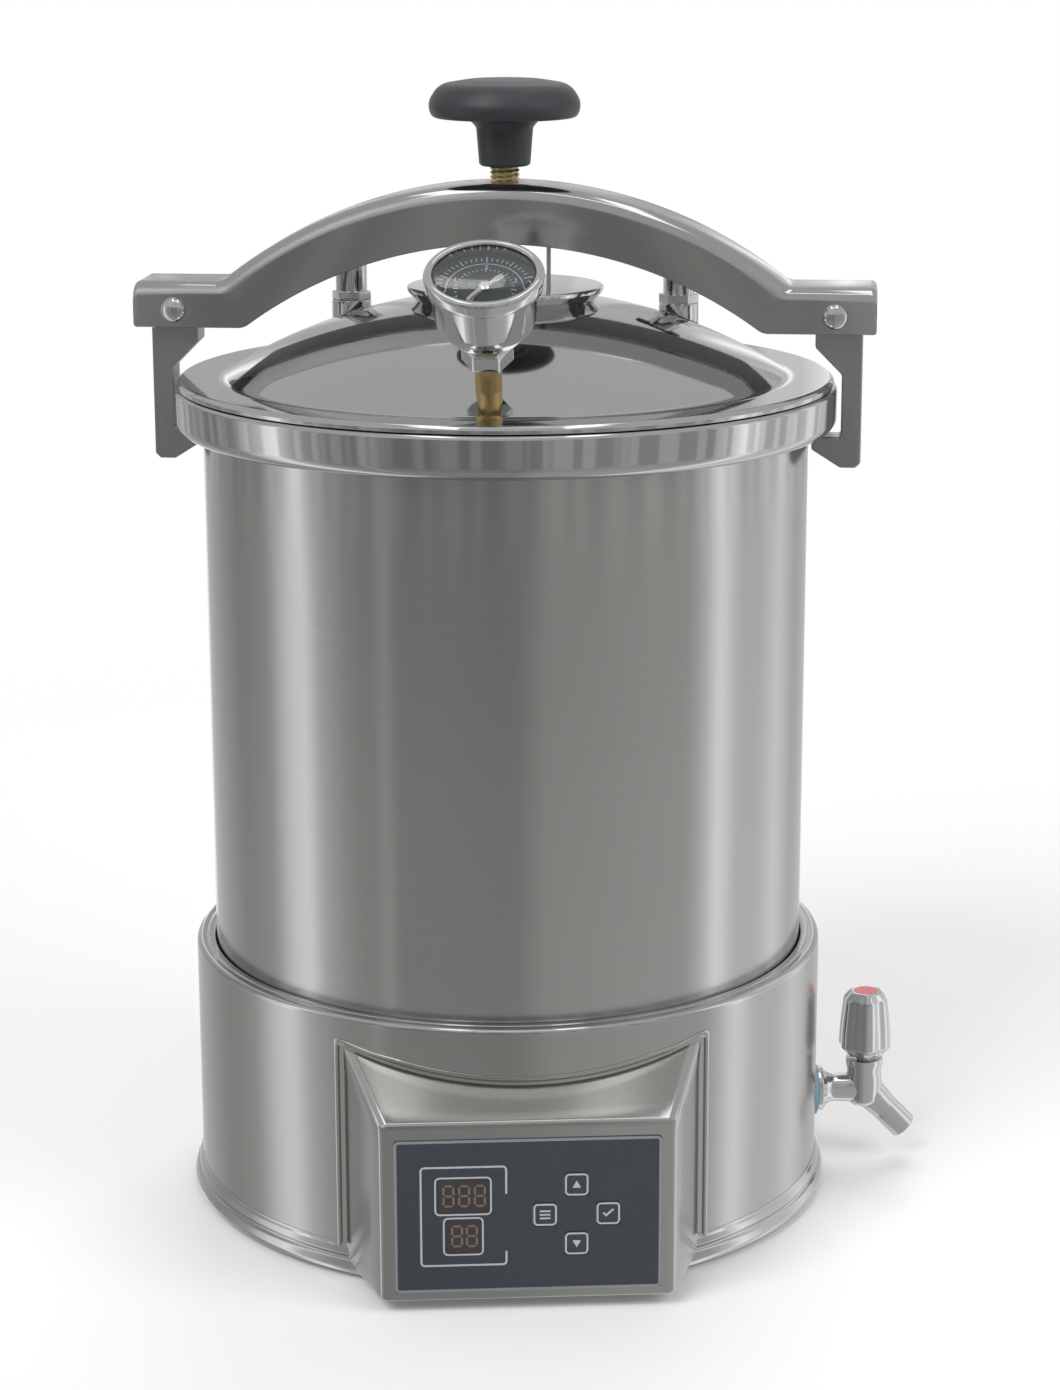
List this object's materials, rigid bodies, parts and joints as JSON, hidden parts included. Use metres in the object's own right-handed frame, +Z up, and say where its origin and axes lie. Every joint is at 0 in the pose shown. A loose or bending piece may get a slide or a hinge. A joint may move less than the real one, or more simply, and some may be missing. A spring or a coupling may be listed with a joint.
{
  "type": "benchtop steam steriliser",
  "caption": "Round steel pot in a heated base with a control panel and a drain tap, closed by a domed lid that a knob, an arched yoke and swinging hooks clamp down; a gauge stands on the lid.",
  "frame": {"origin": "on the bench, under the axis of the pot", "axes": "+Z up along the pot's axis, the control panel faces -Y, the drain tap is on the +X side"},
  "size_m": [0.3779, 0.3313, 0.535],
  "materials": {
    "steel": "polished stainless steel",
    "yoke_steel": "polished stainless steel",
    "hook_steel": "dark satin steel",
    "inner_steel": "plain sheet steel",
    "chrome": "bright plating",
    "brass": "turned brass",
    "screw_metal": "yellow plated steel",
    "rubber": "black rubber",
    "seal": "grey silicone rubber",
    "black_plastic": "black moulded plastic",
    "inlet_plastic": "black moulded plastic",
    "membrane": "dark blue-grey printed film",
    "window": "dark red clear plastic",
    "display": "dark grey plastic",
    "key": "grey film",
    "board": "green board",
    "board_parts": "dark plastic",
    "heater": "sheathed heating tube",
    "dial": "dark dial",
    "needle": "white needle",
    "lens": "clear glass",
    "tap_disc": "red plastic",
    "washer": "blue-grey rubber"
  },
  "bodies": {
    "base": {"base_shell": "steel", "base_ring": "steel", "base_plate": "inner_steel", "rubber_feet": "rubber", "foot_screws": "chrome", "support_ring": "inner_steel", "pot": "steel", "pot_flange": "steel", "heater": "heater", "gland_nuts": "brass", "temperature_probe": "steel", "drain_pipe": "brass", "control_housing": "steel", "membrane": "membrane", "temp_window": "window", "time_window": "window", "temp_display": "display", "time_display": "display", "control_board": "board", "board_parts": "board_parts", "board_spacers": "brass", "mains_inlet": "inlet_plastic", "inlet_screws": "chrome", "tap_body": "chrome", "tap_washer": "washer", "tap_backnut": "brass"},
    "sieve": {"sieve_plate": "steel"},
    "key_up": {"key_up": "key"},
    "key_down": {"key_down": "key"},
    "key_left": {"key_left": "key"},
    "key_right": {"key_right": "key"},
    "tap_valve": {"tap_spindle": "chrome", "tap_handle": "chrome", "tap_disc": "tap_disc"},
    "lid": {"lid": "steel", "gasket": "seal", "pressure_pad": "steel", "valve_seats": "steel", "safety_valve": "brass", "vent_valve": "brass", "gauge_stem": "brass", "gauge_lid_nut": "brass", "gauge_nut": "chrome", "gauge_case": "chrome", "gauge_dial": "dial", "gauge_lens": "lens", "gauge_bezel": "chrome"},
    "needle": {"gauge_needle": "needle"},
    "safety_plunger": {"safety_cap": "chrome"},
    "vent_plug": {"vent_handle": "black_plastic"},
    "screw": {"clamp_screw": "screw_metal", "knob": "black_plastic"},
    "yoke": {"yoke": "yoke_steel", "yoke_bush": "brass", "pivot_screws": "chrome", "anti_turn_pin": "screw_metal"},
    "hook_left": {"hook_left": "hook_steel"},
    "hook_right": {"hook_right": "hook_steel"}
  },
  "joints": [
    {"name": "lid_lift", "type": "slide", "parent": "base", "child": "lid", "axis": [0, 0, 1], "range_m": [0, 0.35]},
    {"name": "sieve_lift", "type": "slide", "parent": "base", "child": "sieve", "axis": [0, 0, 1], "range_m": [0, 0.2]},
    {"name": "key_up_press", "type": "slide", "parent": "base", "child": "key_up", "axis": [0, 1, 0], "range_m": [0, 0.0006], "stiffness_N_per_m": 400, "springref_m": -0.001},
    {"name": "key_down_press", "type": "slide", "parent": "base", "child": "key_down", "axis": [0, 1, 0], "range_m": [0, 0.0006], "stiffness_N_per_m": 400, "springref_m": -0.001},
    {"name": "key_left_press", "type": "slide", "parent": "base", "child": "key_left", "axis": [0, 1, 0], "range_m": [0, 0.0006], "stiffness_N_per_m": 400, "springref_m": -0.001},
    {"name": "key_right_press", "type": "slide", "parent": "base", "child": "key_right", "axis": [0, 1, 0], "range_m": [0, 0.0006], "stiffness_N_per_m": 400, "springref_m": -0.001},
    {"name": "tap_turn", "type": "hinge", "parent": "base", "child": "tap_valve", "pos_m": [0.178, 0, 0.06], "axis": [0, 0, 1], "range_deg": [0, 180]},
    {"name": "needle_swing", "type": "hinge", "parent": "lid", "child": "needle", "pos_m": [-0.01551, -0.13611, 0.45471], "axis": [0.0511, 0.4487, -0.8922], "range_deg": [0, 270], "stiffness_Nm_per_rad": 0.0005},
    {"name": "safety_pop", "type": "slide", "parent": "lid", "child": "safety_plunger", "axis": [0, 0, 1], "range_m": [0, 0.003], "stiffness_N_per_m": 1500, "springref_m": -0.002},
    {"name": "vent_turn", "type": "hinge", "parent": "lid", "child": "vent_plug", "pos_m": [0.08428, 0.02715, 0.445], "axis": [0, 0, 1], "range_deg": [0, 90]},
    {"name": "screw_turn", "type": "hinge", "parent": "lid", "child": "screw", "pos_m": [0, 0, 0.5], "axis": [0, 0, -1], "range_deg": [0, 540]},
    {"name": "yoke_travel", "type": "slide", "parent": "lid", "child": "yoke", "axis": [0, 0, 1], "range_m": [0, 0.003]},
    {"name": "hook_left_swing", "type": "hinge", "parent": "yoke", "child": "hook_left", "pos_m": [-0.1521, 0.02409, 0.429], "axis": [0.1564, 0.9877, 0], "range_deg": [0, 35]},
    {"name": "hook_right_swing", "type": "hinge", "parent": "yoke", "child": "hook_right", "pos_m": [0.1521, -0.02409, 0.429], "axis": [-0.1564, -0.9877, 0], "range_deg": [0, 35]}
  ],
  "couplings": [
    {"joint": "screw_turn", "follows": "yoke_travel", "rad_per_m": 3141.6}
  ]
}
